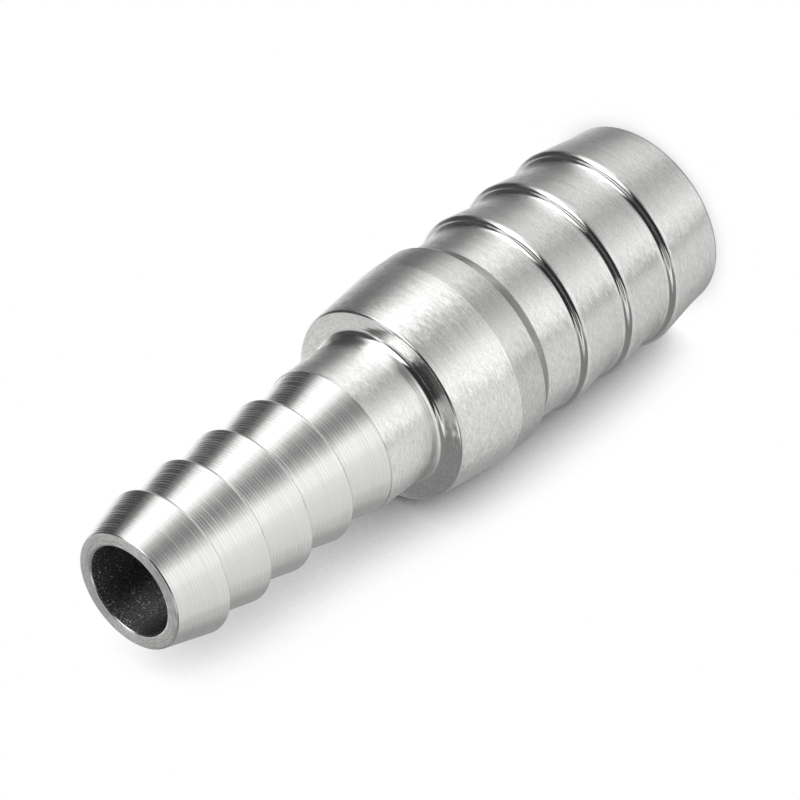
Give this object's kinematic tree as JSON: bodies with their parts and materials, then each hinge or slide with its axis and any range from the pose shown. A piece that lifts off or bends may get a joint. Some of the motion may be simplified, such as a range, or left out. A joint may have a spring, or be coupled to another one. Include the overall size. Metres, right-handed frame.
{
  "type": "hose barb reducer",
  "caption": "Straight reducing hose connector: a small and a large barbed tail either side of a raised collar, with a stepped bore right through.",
  "frame": {"origin": "centre of the large end's face, which the part stands on", "axes": "+Z along the bore, from the large end towards the small end"},
  "size_m": [0.02, 0.02, 0.067],
  "materials": {
    "turned_steel": "turned and brushed stainless steel, with fine lines round the axis"
  },
  "bodies": {
    "root": {"barbed_reducer": "turned_steel"}
  },
  "joints": []
}
